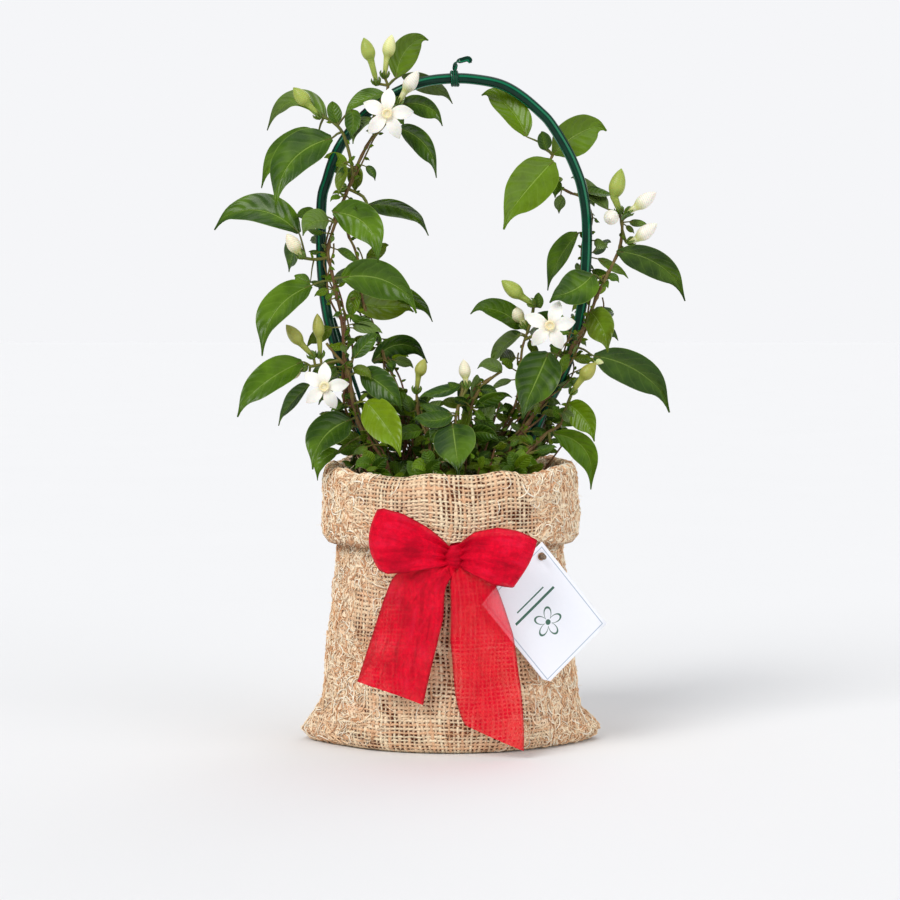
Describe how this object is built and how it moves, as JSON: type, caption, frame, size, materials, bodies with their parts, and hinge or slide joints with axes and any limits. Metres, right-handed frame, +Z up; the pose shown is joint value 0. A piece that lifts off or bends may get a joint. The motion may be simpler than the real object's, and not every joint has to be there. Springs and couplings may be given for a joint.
{
  "type": "potted stephanotis",
  "caption": "Flowering climber trained on an upright hoop, in a pot inside a burlap sack with a turned-down cuff, a ribbon bow and a hanging card.",
  "frame": {"origin": "middle of the flat underside of the sack, on the surface that it stands on", "axes": "+Z up, -Y towards the front where the bow is, +X to the right as seen from the front"},
  "size_m": [0.2851, 0.1624, 0.4234],
  "materials": {
    "burlap": "coarse open weave, matte",
    "pot_plastic": "matte",
    "soil": "crumbly, matte",
    "hoop_green": "glossy",
    "leaf": "waxy, semi-gloss",
    "petal": "waxy",
    "bud": "waxy",
    "ribbon": "sheer, satin sheen",
    "card": "smooth, matte",
    "brass": "antique brown, satin",
    "twine": "matte"
  },
  "bodies": {
    "root": {"sack": "burlap", "nursery_pot": "pot_plastic", "soil": "soil", "hoop": "hoop_green", "hoop_wire": "hoop_green", "hoop_tie": "hoop_green", "spray_left_top": "leaf", "spray_left_low": "leaf", "spray_left_inner": "leaf", "spray_right_outer": "leaf", "spray_right_inner": "leaf", "spray_right_top": "leaf", "spray_right_low": "leaf", "shoot_left": "leaf", "shoot_middle": "leaf", "shoot_right": "leaf", "cover_left": "leaf", "cover_middle": "leaf", "cover_right": "leaf", "bloom_top": "petal", "bloom_left": "petal", "bloom_right": "petal", "bud_top": "bud", "bud_left": "bud", "bud_left_low": "bud", "bud_middle": "bud", "bud_right_back": "bud", "bud_right_front": "bud", "bud_right_low": "bud", "bud_inner": "bud", "ribbon_bow": "ribbon", "card": "card", "card_eyelet": "brass", "card_twine": "twine"}
  },
  "joints": []
}
